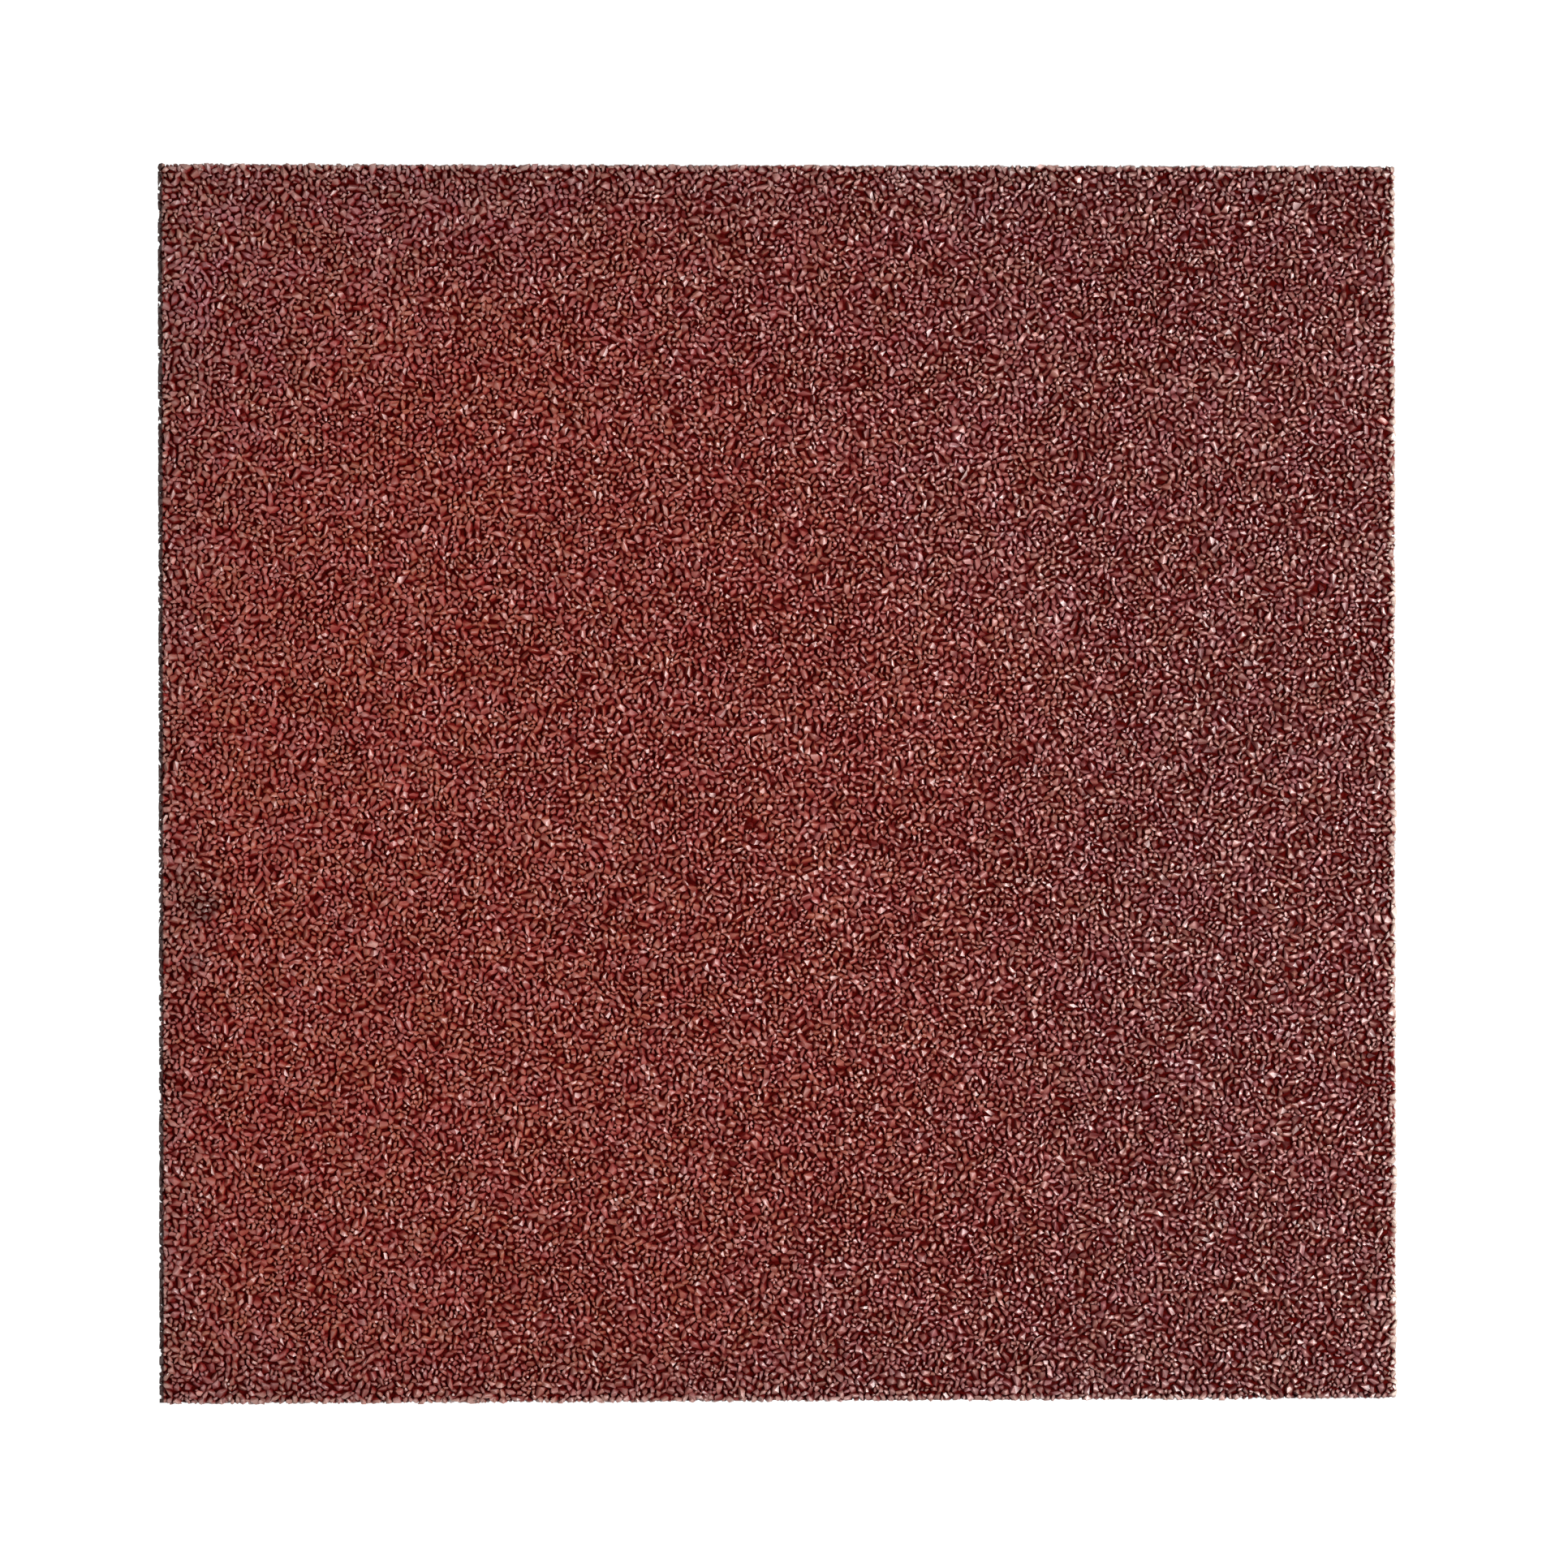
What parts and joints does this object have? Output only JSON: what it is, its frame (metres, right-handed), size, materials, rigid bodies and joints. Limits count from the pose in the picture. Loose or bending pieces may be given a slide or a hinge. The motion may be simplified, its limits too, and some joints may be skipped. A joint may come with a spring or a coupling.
{
  "type": "rubber paver tile",
  "caption": "Square paving tile pressed in one piece from brick-red rubber granules, with an open granular walking surface, upright sides and a flat underside.",
  "frame": {"origin": "centre of the underside, where the tile rests on its bed", "axes": "+Z out of the walking surface, X and Y along the two sides of the square"},
  "size_m": [0.5, 0.5, 0.025],
  "materials": {
    "red_rubber_granulate": "brick-red bound rubber granules, 2 to 4 mm, satin binder film on the grains, dark open pores between them"
  },
  "bodies": {
    "root": {"rubber_tile": "red_rubber_granulate"}
  },
  "joints": []
}
